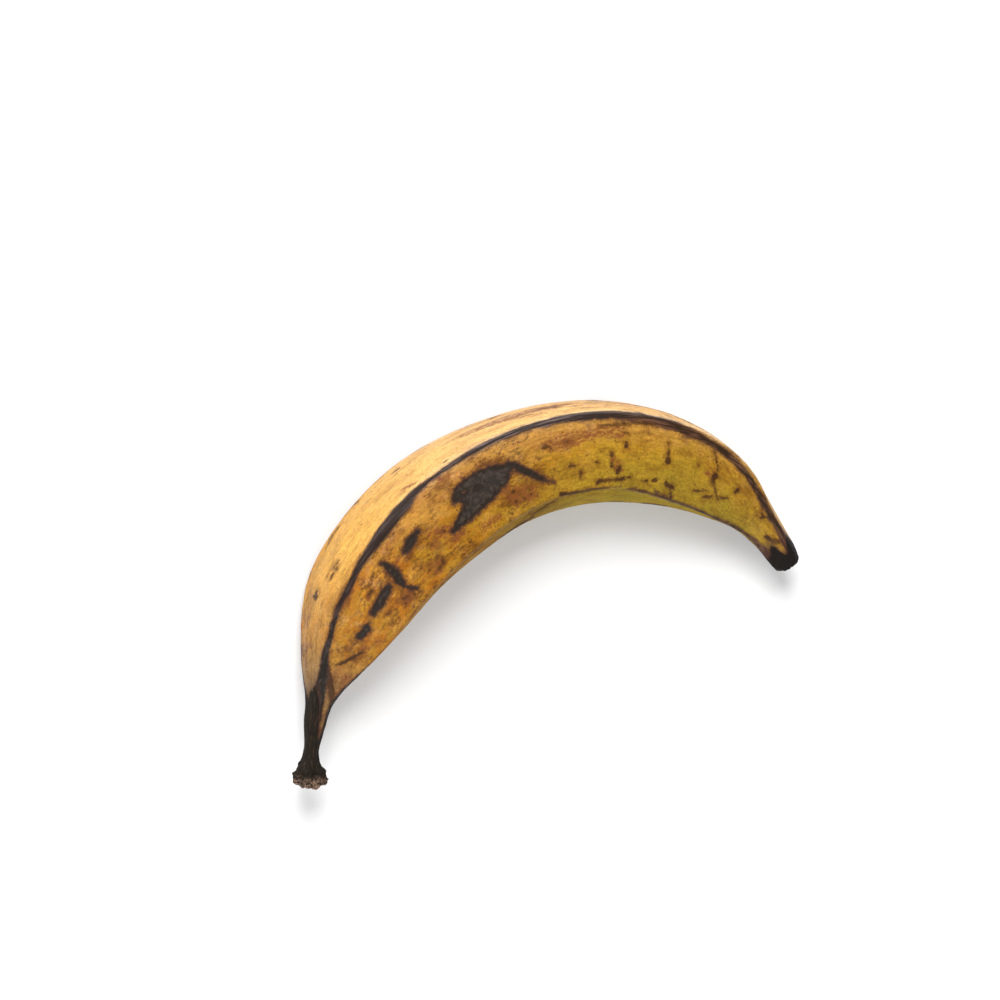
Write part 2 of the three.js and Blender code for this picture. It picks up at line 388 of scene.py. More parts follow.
SCARS = [
    [(217, 67, 0.5), (217.5, 74, 0.5), (218, 81, 0.7)], [(218.2, 85, 1.1), (218.5, 89, 1.5)],
    [(242.5, 86, 1.4), (242.2, 92, 1.1), (242.5, 96, 1.1)],
    [(281.5, 98, 0.9), (284, 89, 1.2), (286, 74, 1.2)], [(271.5, 69, 0.8)],
    [(189.5, 56, 0.35), (194, 55, 0.55), (200, 53, 0.55), (207, 51, 0.6), (211, 51, 0.4)],
    [(169.5, 118, 0.7), (174, 121, 0.8), (179.5, 123, 0.7), (184, 123, 0.8), (188.5, 123, 0.6),
     (192, 122, 0.3)],
    [(187, 116, 0.9), (188.5, 114, 0.8), (193, 114, 0.6), (198.5, 113, 0.8), (203, 111, 0.3)],
    [(237, 57, 0.3), (239, 62, 0.35), (241, 71, 0.35), (242.5, 80, 0.3)],
    [(243, 98, 0.4), (245.5, 105, 0.35), (247.5, 111, 0.5), (249.5, 117, 0.35)],
    [(242, 122, 0.7), (244.5, 120, 0.8), (246, 116, 0.4)],
    [(249, 111, 0.4), (251.5, 109, 0.7), (253, 105, 0.6)],
    [(235.5, 120, 0.3), (239, 117, 0.5), (242, 112, 0.3)],
    [(254.5, 88, 0.7), (255, 82, 0.8), (255, 79, 0.4)],
    [(220.5, 116, 0.9), (222.5, 119, 0.9), (225.5, 121, 0.7)],
    [(224, 122, 0.25), (225, 127, 0.25), (226.5, 133, 0.7)], [(221, 131, 0.7), (222, 131, 0.6)],
    [(208, 116, 0.4), (211, 115, 0.5)], [(233, 83, 0.5)], [(270, 82, 0.6)],
    [(272, 80, 0.4), (273, 68, 0.6), (275, 60, 0.5)], [(176, 68, 0.8)], [(167, 67, 1), (168.5, 67, 0.9)],
    [(170, 71, 0.6)], [(175, 95, 0.6), (176.5, 94, 0.8), (178, 94, 0.4)],
    [(193.5, 84, 0.6), (193.5, 88, 0.7)], [(197.5, 98, 0.5), (197, 102, 1), (196, 107, 0.8)],
    [(193.5, 96, 0.5), (193.5, 100, 0.8)], [(199.5, 73, 0.5), (199.5, 78, 0.7)], [(199.5, 63, 0.6)],
    [(187, 95, 0.6)], [(180, 101, 0.4), (179.5, 109, 0.4)], [(150, 97, 0.8)], [(147, 100, 0.5)],
    [(152.5, 103, 0.5)], [(156.5, 102, 0.5)], [(157, 108, 0.5)], [(153.5, 109, 0.5)], [(159, 113, 0.5)],
    [(149.5, 107, 0.6)], [(185, 12, 0.7)], [(174, 1, 0.35), (178, 1, 0.45), (180.5, 8, 0.35)],
    [(84, 11, 0.4), (84.3, 16, 0.6), (83.6, 22, 0.5)], [(85.6, 15, 0.4)], [(82.4, 20, 0.4)],
    [(73, -6, 1), (72, -1, 0.8)], [(74, 2, 0.5)], [(79, 17, 0.5)], [(80, 8, 0.4)], [(71, 19, 0.4)],
    [(60.5, 99, 0.5), (57.5, 92, 0.7), (54.5, 84, 0.8), (53, 78, 0.6), (51.5, 71, 0.3)],
    [(50, 57, 0.5), (46.5, 66, 1.1), (42.5, 79, 1.4), (39.5, 92, 1.4), (36, 107, 0.9)],
    [(110.5, 106, 0.5), (109.5, 110, 0.7), (107, 111, 0.6), (105.5, 111, 0.4)], [(87.5, 103, 0.6)],
    [(89, 106, 0.5)], [(86, 108, 0.5)], [(91, 106, 0.4)], [(85.5, 103, 0.4)], [(93.5, 109, 0.5)],
    [(91.5, 109, 0.5), (90.5, 112, 0.4)], [(93.5, 112, 0.4)], [(78.5, 97, 0.5)], [(76, 108, 0.5)],
    [(83.5, 69, 0.6), (81.5, 69, 0.5)], [(111.5, 90, 0.6)], [(117, 87, 0.8), (118, 88, 0.7)],
    [(114.5, 87, 0.5)], [(103.5, 106, 0.4)], [(103.5, 111, 0.4)], [(238, 15, 0.7), (239, 16, 0.5)],
    [(227, 2, 0.8), (228, 6, 0.7)], [(223.5, -2, 0.4)], [(231, 7, 0.4)], [(233, 11, 0.4)],
    [(235, 15, 0.5)], [(157, 137, 0.4), (163, 129, 0.8), (168, 124, 0.4)],
    [(241, 8, 0.7), (243, 10, 0.5)], [(228, 18, 0.8), (230, 15, 0.6)], [(224, 4, 0.4)], [(232, 22, 0.4)],
    [(235, 24, 0.5)], [(71.5, -12, 0.4), (71, -4, 0.7), (72, 3, 0.4)],
]
STAINS = [
    [(118, 101, 1.8), (123.5, 100, 2)], [(132.5, 110, 1.4), (139.5, 110, 1.6)],
    [(127.5, 50, 1.3), (131.5, 51, 1)], [(98, 71, 1.4)], [(117.5, 88, 1.6), (121.5, 90, 1.6)],
    [(91.5, 105, 2.6), (87.5, 106, 2.4)], [(114, 82, 2.2), (116.5, 87, 3), (119.5, 88, 2.2)],
    [(112, 91, 2.4)], [(106.5, 109, 3)], [(62, 98, 2), (59.5, 98, 1.6)],
    [(82.5, 69, 1.6), (80.5, 71, 1.2)], [(65.5, 107, 1.6)],
    [(147.5, 90, 3), (150.5, 102, 4), (156.5, 107, 4)],
    [(168, 66, 2.4), (172, 66, 3.5), (177.5, 67, 3.5), (185.5, 64, 2.5)],
    [(189.5, 62, 2.4), (196.5, 62, 3)], [(239, 86, 2.4)], [(196.5, 102, 1.8), (194, 91, 1.4)],
    [(164.5, 1, 1), (169.5, -2, 1.3), (174, 2, 1.3), (179, 8, 1.2)],
    [(191.5, -4, 1), (202, -29, 1.1), (211, -18, 0.9)], [(159.5, -12, 1), (156.5, -13, 0.8)],
    [(217, 19, 1), (218, 25, 1.2)], [(217.5, 41, 1.4), (221, 40, 1.2)], [(229, 5, 1), (232.5, 11, 1)],
    [(48.5, 103, 2), (39.5, 112, 2)], [(117.5, 28, 1.4), (120.5, 32, 1.2)],
    [(121.5, 42, 0.9), (126, 45, 1), (131, 48, 0.7)], [(88.5, 40, 0.9), (92, 43, 0.8)],
    [(76, 50, 0.8), (80.5, 51, 0.9)], [(40.5, 45, 1.2)], [(211, -4, 1.2), (219, 0, 1.4)],
    [(226, 22, 1.0), (234, 20, 1.2)], [(146, -4, 3), (158, -2, 5.2), (170, -2, 5.2), (184, -4, 3)],
    [(164, 14, 0.8), (174, 20, 0.9)],
    [(196, -6, 2), (206, -2, 3), (212, -4, 3.5), (219, 4, 3.5), (226, 16, 2.5)],
]

print("marks placed by hand:", len(BRUISES) + len(SCARS) + len(STAINS))

# %% [markdown]
# The rest of the fruit is as knocked about as the side on top. It gets marks of the same kinds at random,
# from a fixed seed, so that every run draws the same ones.

# %% Marks on the sides that lie away
rng = np.random.default_rng(7)
HIDDEN_SIDE = (165, 330)  # degrees
HIDDEN_PLACES = (62, 278)
POINTS_A_STROKE = 4
WAVE = 2  # degrees that a point of a stroke strays
THIN_END = 0.4  # width at a stroke's ends, as a share of its middle


def random_strokes(count, length, half_width, slant):
    """Strokes of a few points over the hidden side, each with its own length, width and slant."""
    strokes = []
    for _ in range(count):
        start = rng.uniform(*HIDDEN_PLACES)
        turn = rng.uniform(*HIDDEN_SIDE)
        reach = rng.uniform(*length)
        tilt = rng.uniform(-slant, slant)
        width = rng.uniform(*half_width)
        stroke = []
        for step in np.linspace(0, 1, POINTS_A_STROKE):
            wave = rng.uniform(-WAVE, WAVE)
            fat = THIN_END + (1 - THIN_END) * math.sin(math.pi * (0.15 + 0.7 * step))
            stroke.append((start + reach * step, turn + tilt * step + wave, width * fat))
        strokes.append(stroke)
    return strokes


BRUISES += random_strokes(9, (4, 16), (1.0, 3.2), 22)
SCARS += random_strokes(34, (1, 9), (0.3, 0.8), 14)
STAINS += random_strokes(10, (4, 14), (1.5, 3.5), 14)
print("bruises, scars, stains:", len(BRUISES), len(SCARS), len(STAINS))

# %% [markdown]
# A stroke is a chain of straight pieces, each wider or narrower towards its end. The distance from a point
# to such a piece is a short sum, so it is done for all points of the mesh at once, on the unrolled skin,
# in millimetres.

# %% The distance to the nearest stroke
FAR = 30.0  # millimetres, more than any mark reaches
SMALLEST_RADIUS = 4.0  # millimetres, so that a degree stays worth something on the thin ends
degree_length = np.radians(1) * np.maximum(along(RIDGE_RADIUS, place), SMALLEST_RADIUS)


def stroke_distance(strokes):
    """Millimetres from each point of the skin to the edge of the nearest stroke, below 0 inside it."""
    nearest = np.full(len(place), FAR)
    for stroke in strokes:
        ends = stroke[1:] if len(stroke) > 1 else stroke
        for (p0, a0, w0), (p1, a1, w1) in zip(stroke, ends):
            across = degrees_from(degrees_round, a0) * degree_length
            way = np.stack([np.full(len(place), p1 - p0), (a1 - a0) * degree_length], axis=1)
            gone = np.stack([place - p0, across], axis=1)
            square = np.maximum((way ** 2).sum(axis=1), 1e-6)
            t = np.clip((gone * way).sum(axis=1) / square, 0, 1)
            away = np.linalg.norm(gone - way * t[:, None], axis=1) - (w0 + (w1 - w0) * t)
            nearest = np.minimum(nearest, away)
    return nearest


bruise = stroke_distance(BRUISES)
scar = stroke_distance(SCARS)
stain = stroke_distance(STAINS)
print("share of the skin that is bruised:", round(float((bruise < 0).mean()), 3))

# %% [markdown]
# ## The black along the ridges
# The skin turns black along the ridges first, in a band that widens, narrows and wanders a little off the
# ridge. The ridge on top has the widest band. Those on the inner side are thin and broken until they run
# together at the end.

# %% The bands, each row as place, middle in degrees, half the width in millimetres
TOP_BAND = [
    (34.5, 51, 3.2), (38.5, 55, 2.7), (47, 53, 1.9), (53.5, 48, 1.5), (60.5, 48, 1.2), (67, 47, 1),
    (74, 47, 1.1), (81, 48, 1.3), (91, 47, 1.6), (98.5, 47, 2.3), (105.5, 46, 2.6), (112.5, 45, 2.6),
    (119, 43.5, 1.8), (123.5, 44, 1.1), (128, 44, 1.0), (134.5, 44, 1.2), (138, 44, 1.4), (146, 43, 1.6),
    (155, 43, 1.7), (163, 43, 1.9), (171, 44, 2.1), (178.5, 44, 2.3), (186, 45, 2.3), (196, 44, 2.2),
    (204.5, 44, 2.0), (211, 45, 2.0), (216.5, 47.5, 1.8), (222.5, 49.5, 1.5), (229, 50.5, 1.2),
    (235, 51, 1.2), (241, 51, 1.2), (247, 52, 1.2), (253, 53, 1.3), (260, 54, 1.3), (267, 53, 1.3),
    (273.5, 53, 1.3), (281.5, 51, 1.5), (290, 50, 2.4), (300, 45, 5),
]
LOWER_BAND = [(36, 314, 3.0), (50, 311, 1.6), (90, 309, 1.2), (140, 310, 1.6), (200, 308, 1.4),
              (250, 309, 1.7), (285, 315, 2.6), (300, 315, 5.0)]
INNER_TOP_BAND = [(30, 128, 2.0), (38, 124, 1.7), (47, 121, 1.1), (58, 120, 0.0), (66, 120, -0.6),
                  (160, 120, -0.9), (200, 122, -0.5), (215, 128, 0.0), (232, 138, 0.6), (246, 142, 0.9),
                  (262, 141, 1.1), (280, 140, 1.6), (300, 140, 4.5)]
INNER_BAND = [(30, 182, 1.6), (50, 180, 0.8), (90, 179, 0.3), (150, 181, -0.3), (200, 181, 0.3),
              (232, 191, 0.6), (270, 192, 1.2), (300, 192, 4.5)]
INNER_LOW_BAND = [(30, 238, 1.4), (50, 240, 0.9), (100, 241, 0.6), (180, 239, 0.2), (240, 244, 1.0),
                  (280, 244, 1.8), (300, 244, 4.5)]
BANDS = [TOP_BAND, LOWER_BAND, INNER_TOP_BAND, INNER_BAND, INNER_LOW_BAND]

band = np.full(len(place), FAR)
for rows_of_band in BANDS:
    middle = along([(row[0], row[1]) for row in rows_of_band], place)
    half = along([(row[0], row[2]) for row in rows_of_band], place)
    away = np.abs(degrees_from(degrees_round, middle)) * degree_length
    band = np.minimum(band, away - half)
print("share of the skin that is black ridge:", round(float((band < 0).mean()), 3))

# %% [markdown]
# ## Small unevenness
# A grown skin is never quite even. It has soft swellings, the stem is ribbed lengthwise where its fibres
# dried, the torn knob is rough, and bruises lie a little lower than the sound skin round them.

# %% Roughen the shape
# Height and width of the hills, millimetres
SWELL, SWELL_WIDTH = 0.35, 14
DIMPLE, DIMPLE_WIDTH = 0.08, 3.2
STEM_RIBS, RIB_WIDTH = 0.28, 1.3
KNOB_ROUGH, LUMP_WIDTH = 1.0, 2.1
TIP_ROUGH, TIP_LUMP_WIDTH = 0.35, 1.6
BAND_WRINKLE, WRINKLE_WIDTH = 0.10, 1.4
BRUISE_DEPTH = 0.10
TIP_RIB_SHARE = 0.15  # height of the ribs by the blossom end, as a share of those on the stem

on_stem = 1 - smooth(place, 30, 46)
on_knob = 1 - smooth(place, 5, KNOB_END)
by_tip = smooth(place, 255, 290)
at_tip = smooth(place, 292, 299)


def squeezed(share):
    """The straight places, squeezed lengthwise, so that the hills there come out longer."""
    return straight * np.array([share, 1, 1])


swell = fractal(squeezed(0.35), SWELL_WIDTH, 2) * SWELL * smooth(place, 34, 70)
dimple = fractal(straight, DIMPLE_WIDTH, 2, seed=1) * DIMPLE
ribs = fractal(squeezed(0.08), RIB_WIDTH, 2, seed=2) * STEM_RIBS
ribs *= np.maximum(on_stem, TIP_RIB_SHARE * by_tip)
lump = fractal(straight, LUMP_WIDTH, 3, seed=3) * KNOB_ROUGH * on_knob
blunt = fractal(straight, TIP_LUMP_WIDTH, 3, seed=4) * TIP_ROUGH * at_tip
sunk = -BRUISE_DEPTH * (1 - smooth(bruise, -1.4, 0.6))
wrinkle = fractal(squeezed(0.3), WRINKLE_WIDTH, 2, seed=5) * BAND_WRINKLE
wrinkle *= 1 - smooth(band, -0.8, 0.8)
raised = swell + dimple + ribs + lump + blunt + sunk + wrinkle
points = straight + normals_of(fruit.data) * raised[:, None]
set_points(fruit.data, points)
print("unevenness from", round(float(raised.min()), 2), "to", round(float(raised.max()), 2), "mm")

# %% [markdown]
# ## Bend it and lay it down
# The ridges wander round the fruit a little, so the straight body is twisted first and lifted to its
# height above the table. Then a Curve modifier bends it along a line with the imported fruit's headings.

# %% Twist and lift
LIFT_STEP = 2.0
turn = np.radians(along(TWIST, points[:, 0]) + ROLL)
lift_places = np.arange(0, LENGTH + 1, LIFT_STEP)
lift = np.interp(points[:, 0], lift_places, axis_height(lift_places))
across = points[:, 1] * np.cos(turn) - points[:, 2] * np.sin(turn)
up = points[:, 1] * np.sin(turn) + points[:, 2] * np.cos(turn) + lift
set_points(fruit.data, np.stack([points[:, 0], across, up], axis=1))
print("lifted by", round(float(lift.min()), 1), "to", round(float(lift.max()), 1), "mm")

# %% [markdown]
# The line is a chain of short straight pieces, one to a millimetre, so it turns by less than a degree at
# each point. A Curve modifier lays the body's own X axis along it, and each ring stays square to the line.

# %% The line to bend along
line_data = bpy.data.curves.new("bend_line", "CURVE")
line_data.dimensions = "3D"
line_data.twist_mode = "Z_UP"
spline = line_data.splines.new("POLY")
spline.points.add(len(AXIS) - 1)
for spline_point, (x, y) in zip(spline.points, AXIS):
    spline_point.co = (x * MM, y * MM, 0, 1)
line = bpy.data.objects.new("bend_line", line_data)
bpy.context.collection.objects.link(line)

bend = fruit.modifiers.new("bend", "CURVE")
bend.object = line
bend.deform_axis = "POS_X"
bpy.context.view_layer.objects.active = fruit
bpy.ops.object.modifier_apply(modifier=bend.name)
bpy.data.objects.remove(line)
print("bent along", len(AXIS), "points")

# %% [markdown]
# A real fruit yields a little where it lies. The points that ended below the table are squashed onto it,
# by a resize to nothing in height. Then the fruit moves until its box has its middle where the packed
# fruit has it.

# %% Press the underside flat and centre the fruit over the origin
bpy.ops.object.mode_set(mode="EDIT")
bpy.ops.mesh.select_all(action="DESELECT")
bpy.ops.object.mode_set(mode="OBJECT")
for vertex in fruit.data.vertices:
    vertex.select = vertex.co.z < 0
print("points pressed flat:", sum(v.select for v in fruit.data.vertices))
bpy.ops.object.mode_set(mode="EDIT")
bpy.ops.transform.resize(value=(1, 1, 0), center_override=(0, 0, 0))
bpy.ops.object.mode_set(mode="OBJECT")

found = np.empty(len(fruit.data.vertices) * 3)
fruit.data.vertices.foreach_get("co", found)
found = found.reshape(-1, 3)
frame_lo, frame_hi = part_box("plantain")
middle = (np.array(frame_lo) + np.array(frame_hi)) / 2
shift = middle - (found.min(axis=0) + found.max(axis=0)) / 2
found[:, :2] += shift[:2]
set_points(fruit.data, found / MM)
for polygon in fruit.data.polygons:
    polygon.use_smooth = True
print("size, mm:", (np.ptp(found, axis=0) / MM).round(1), "moved", (shift / MM).round(2))

# %% [markdown]
# ## Keep the map with the mesh
# The material needs each point's place on the straight fruit and its distances to the marks. They are
# stored as attributes of the mesh's points. Broad zones go with them: how pale and how green the skin is,
# how far the nearest ridge is, and which points are on the face that looks inwards.

# %% Zones
from_outer = np.abs(degrees_from(degrees_round, 0))
outer_side = 1 - smooth(from_outer, 36, 52)
lower_half = smooth(from_outer, 62, 112)
inner_side = smooth(from_outer, 88, 150)
towards_tip = smooth(place, 110, 215)
pale = outer_side * smooth(place, 40, 95)
green = 0.15 * inner_side + towards_tip * (0.36 * (1 - outer_side) + 0.42 * lower_half)
inner_ridge = RIDGES[1][0] + RIDGES[1][2] * along(DRIFT, place)
inner_face = smooth(from_outer - inner_ridge, -1, 8)
print("share of the skin that is pale:", pale.mean().round(2), "and green:", green.mean().round(2))

# %% [markdown]
# The stem dries from its cut, farther down some sides than others, and the blossom end dries in five
# tongues. Each gets a distance too, so that its edge can be torn like a bruise's.

# %% The edges of the dry ends, and the attributes
STEM_EDGE = [(-180, 33), (-60, 38), (0, 36), (40, 40), (60, 35), (80, 24), (100, 19), (140, 26), (180, 33)]
TIP_EDGE, TIP_TONGUE = 289, 3  # place, millimetres
stem = along(STEM_EDGE, degrees_from(degrees_round, 0)) - place  # above 0 on the dry stem
tongues = TIP_TONGUE * np.cos(np.radians(degrees_round * len(RIDGES)))
tip = TIP_EDGE + tongues - place  # below 0 on the dry tip


def store(name, columns):
    """Keeps one to three numbers for each point of the mesh."""
    kind = "FLOAT_VECTOR" if len(columns) == 3 else "FLOAT"
    attribute = fruit.data.attributes.new(name, kind, "POINT")
    values = np.stack(columns, axis=1).astype(np.float32).ravel()
    attribute.data.foreach_set("vector" if len(columns) == 3 else "value", values)


store("straight", [straight[:, 0], straight[:, 1], straight[:, 2]])
store("marks", [bruise, scar, stain])
store("edges", [band, stem, tip])
store("zones", [pale, green, np.abs(ridge_distance)])
store("inner_face", [inner_face])
print("attributes:", [a.name for a in fruit.data.attributes if not a.name.startswith(".")])

# %% [markdown]
# ## Helpers for materials
# A material is a chain of nodes. These helpers add a node, set its values and link it in one call, so that
# each effect reads as a short list. An effect that is used more than once is a node group with named
# sockets.

# %% Node helpers
def linear(code):
    """A colour from its web code, in the linear values that shaders use."""
    parts = [int(code[i:i + 2], 16) / 255 for i in (1, 3, 5)]
    return [p / 12.92 if p <= 0.04045 else ((p + 0.055) / 1.055) ** 2.4 for p in parts] + [1.0]


def add(tree, kind, inputs=None, **settings):
    """Adds a node. An input is a value or a socket to link from."""
    made = tree.nodes.new(kind)
    for name, value in settings.items():
        setattr(made, name, value)
    for name, value in (inputs or {}).items():
        if isinstance(value, bpy.types.NodeSocket):
            tree.links.new(value, made.inputs[name])
        else:
            made.inputs[name].default_value = value
    return made


def maths(tree, operation, first, second=0.0, clamp=False):
    """The result of a sum on one or two values."""
    made = add(tree, "ShaderNodeMath", {0: first, 1: second}, operation=operation, use_clamp=clamp)
    return made.outputs[0]


def rise(tree, value, low, high, floor=0.0, top=1.0):
    """An even rise from floor to top as the value goes from low to high."""
    inputs = {"Value": value, "From Min": low, "From Max": high, "To Min": floor, "To Max": top}
    return add(tree, "ShaderNodeMapRange", inputs, interpolation_type="SMOOTHSTEP").outputs["Result"]


def mix(tree, factor, first, second, blend="MIX"):
    """One colour laid over another where the factor is 1."""
    made = add(tree, "ShaderNodeMix", data_type="RGBA", blend_type=blend)
    sockets = [s for s in made.inputs if s.type == "RGBA"]
    for socket, value in zip([made.inputs["Factor"]] + sockets, (factor, first, second)):
        if isinstance(value, bpy.types.NodeSocket):
            tree.links.new(value, socket)
        else:
            socket.default_value = value
    return [s for s in made.outputs if s.type == "RGBA"][0]


def hills(tree, vector, scale, detail=2.0, roughness=0.5):
    """Noise between 0 and 1, with so many hills to a millimetre."""
    inputs = {"Vector": vector, "Scale": scale, "Detail": detail, "Roughness": roughness}
    return add(tree, "ShaderNodeTexNoise", inputs).outputs["Fac"]


def stretch(tree, vector, times):
    """The place, times a share along each axis. Below 1 it draws a pattern out there."""
    return add(tree, "ShaderNodeVectorMath", {0: vector, 1: times}, operation="MULTIPLY").outputs[0]


def new_group(name, inputs, outputs):
    """An empty node group with named sockets, each given as name and kind."""
    tree = bpy.data.node_groups.new(name, "ShaderNodeTree")
    for side, sockets in (("INPUT", inputs), ("OUTPUT", outputs)):
        for label, kind in sockets:
            tree.interface.new_socket(label, in_out=side, socket_type=f"NodeSocket{kind}")
    return tree, tree.nodes.new("NodeGroupInput"), tree.nodes.new("NodeGroupOutput")


# %% [markdown]
# ### Ragged edge
# A bruise, a black band and the dry end of the stem all stop at a ragged edge. The distance to the edge is
# in the mesh. This group adds noise to the distance, coarse and fine, before it is cut off, so that one
# even distance becomes a torn outline that no two marks share.

# %% The ragged edge group
# Hills to a millimetre, how many finer sets of them, how strong those are
COARSE, FINER = (0.45, 2.0, 0.5), (1.9, 3.0, 0.65)
COARSE_REACH, FINER_REACH = 2.0, 1.6  # millimetres from the lowest hill to the highest, at a raggedness of 1


def build_ragged_edge():
    """Distance in millimetres in, a mask out: 1 inside the mark, 0 outside it."""
    tree, given, result = new_group(
        "ragged_edge",
        [("Distance", "Float"), ("Place", "Vector"), ("Ragged", "Float"), ("Soft", "Float")],
        [("Mask", "Float")])
    moved = []
    for pattern, reach in ((COARSE, COARSE_REACH), (FINER, FINER_REACH)):
        centred = maths(tree, "SUBTRACT", hills(tree, given.outputs["Place"], *pattern), 0.5)
        moved.append(maths(tree, "MULTIPLY", centred, reach))
    by_noise = maths(tree, "MULTIPLY", maths(tree, "ADD", *moved), given.outputs["Ragged"])
    torn = maths(tree, "ADD", given.outputs["Distance"], by_noise)
    inner_edge = maths(tree, "MULTIPLY", given.outputs["Soft"], -1.0)
    mask = rise(tree, torn, inner_edge, given.outputs["Soft"], 1.0, 0.0)
    tree.links.new(mask, result.inputs["Mask"])
    return tree


RAGGED_EDGE = build_ragged_edge()


def ragged(tree, distance, vector, how_ragged, how_soft, reach=0.0):
    """The mask of a mark from its distance. The reach is how much farther out it goes."""
    distance = maths(tree, "SUBTRACT", distance, reach)
    inputs = {"Distance": distance, "Place": vector, "Ragged": how_ragged, "Soft": how_soft}
    return add(tree, "ShaderNodeGroup", inputs, node_tree=RAGGED_EDGE).outputs["Mask"]


# %% [markdown]
# ### Flecks
# Ripe skin is strewn with flecks. A Voronoi texture splits the skin into cells with a point in each. A
# fleck is drawn round the point in some of the cells only, and each has a size of its own.

# %% The flecks group
WOBBLE = (0.9, 0.9, 0.9)  # how far noise moves a fleck's outline, millimetres
SMALLEST = 0.35  # size of the smallest fleck, as a share of the largest
CORE = 0.6  # share of a fleck's radius that is fully dark


def build_flecks():
    """Flecks of a size in millimetres, in a share of the cells."""
    tree, given, result = new_group(
        "flecks", [("Place", "Vector"), ("Cells", "Float"), ("Size", "Float"), ("Share", "Float")],
        [("Mask", "Float")])
    inputs = {"Vector": given.outputs["Place"], "Scale": 1.3, "Detail": 2.0}
    noise_colour = add(tree, "ShaderNodeTexNoise", inputs).outputs["Color"]
    centred = add(tree, "ShaderNodeVectorMath", {0: noise_colour, 1: (0.5, 0.5, 0.5)},
                  operation="SUBTRACT").outputs[0]
    shaken = add(tree, "ShaderNodeVectorMath", {0: centred, 1: WOBBLE, 2: given.outputs["Place"]},
                 operation="MULTIPLY_ADD").outputs[0]
    cells = add(tree, "ShaderNodeTexVoronoi", {"Vector": shaken, "Scale": given.outputs["Cells"]})
    chance = add(tree, "ShaderNodeSeparateColor", {"Color": cells.outputs["Color"]})
    size_share = rise(tree, chance.outputs[1], 0.0, 1.0, SMALLEST, 1.0)
    own_size = maths(tree, "MULTIPLY", given.outputs["Size"], size_share)
    limit = maths(tree, "MULTIPLY", own_size, given.outputs["Cells"])
    disc = rise(tree, cells.outputs["Distance"], maths(tree, "MULTIPLY", limit, CORE), limit, 1.0, 0.0)
    chosen = maths(tree, "LESS_THAN", chance.outputs[0], given.outputs["Share"])
    tree.links.new(maths(tree, "MULTIPLY", disc, chosen), result.inputs["Mask"])
    return tree


FLECKS = build_flecks()
print("node groups:", [group.name for group in bpy.data.node_groups])


def flecks(tree, vector, cells, size, share):
    """The mask of a strewing of flecks."""
    inputs = {"Place": vector, "Cells": cells, "Size": size, "Share": share}
    return add(tree, "ShaderNodeGroup", inputs, node_tree=FLECKS).outputs["Mask"]


# %% [markdown]
# ## The skin
# Ripe plantain skin is ochre, more orange towards the stem and greener towards the other end and the inner
# side. It is matt satin, with fine streaks along its length, brown flecks, black ridges, grey-black
# bruises and a dry woody stem. A painted picture would blur close by, while noise stays sharp at any
# distance, so all of it is noise and distances. The layers are laid one over another in the order in which
# they came on the real fruit. Most patterns are drawn out along the fruit, as its fibres are, so the place
# that they read is squeezed lengthwise.

# %% The skin's material and what it reads from the mesh
skin = bpy.data.materials.new("plantain_skin")
skin.use_nodes = True
tree = skin.node_tree
tree.nodes.clear()
OTHER_PLACE = (137.0, 41.0, 23.0)  # so far off that a pattern there has nothing to do with the one here


def attribute(name):
    """What was stored with the mesh under a name: as a place, and as three numbers."""
    made = add(tree, "ShaderNodeAttribute", attribute_name=name)
    parts = add(tree, "ShaderNodeSeparateXYZ", {0: made.outputs["Vector"]})
    return made.outputs["Vector"], parts.outputs[0], parts.outputs[1], parts.outputs[2]


here, here_along, here_side, _ = attribute("straight")
_, bruise_away, scar_away, stain_away = attribute("marks")
_, band_away, stem_away, tip_away = attribute("edges")
_, paleness, greenness, ridge_away = attribute("zones")
_, inwards, _, _ = attribute("inner_face")
elsewhere = add(tree, "ShaderNodeVectorMath", {0: here, 1: OTHER_PLACE}, operation="ADD").outputs[0]
oval = stretch(tree, here, (0.5, 1.0, 1.0))
lengthwise = stretch(tree, here, (0.12, 1.0, 1.0))
fibrous = stretch(tree, here, (0.05, 1.0, 1.0))
print("nodes that read the mesh:", len(tree.nodes))

# %% [markdown]
# Every layer is a colour laid over those below it. Its share comes from products, from noise, or from a
# stretch of the fruit. Each gets a helper.

# %% Helpers for the layers
def times(first, second):
    """The product of two values."""
    return maths(tree, "MULTIPLY", first, second)


def paint(below, over, share, strength=1.0):
    """A colour laid over the one below where the share is 1, as strongly as the strength says."""
    return mix(tree, times(share, strength), below, over)


def patchy(vector, pattern, low, high, floor=0.0, top=1.0):
    """A share that goes from floor to top as noise goes from low to high. The pattern is for hills."""
    return rise(tree, hills(tree, vector, *pattern), low, high, floor, top)


def between(start, full, fading, end):
    """A share that is 1 between the places full and fading, and 0 before start and past end."""
    return times(rise(tree, here_along, start, full), rise(tree, here_along, end, fading))


# %% [markdown]
# ### Sound skin
# Sound skin is ochre, more orange by the stem, olive and mossy towards the other end and on the inner face,
# with dull and golden patches of half a centimetre and more. The moss on the inner face is partly painted
# shade, and a pink-tan wash beside the top ridge is painted sheen. The real colours have no edges between
# them, so broad noise mixes them.

# %% Sound skin
OCHRE = linear("#A8761A")
ORANGE = linear("#A2600A")
OLIVE = linear("#8C781E")
PINK_TAN = linear("#B0804C")
GOLD = linear("#C08A36")
MOSS_AND_SHADE = linear("#A08822")
TOP_RIDGE_SHEEN, MOSS_AND_SHADE_SHARE = 0.4, 0.65

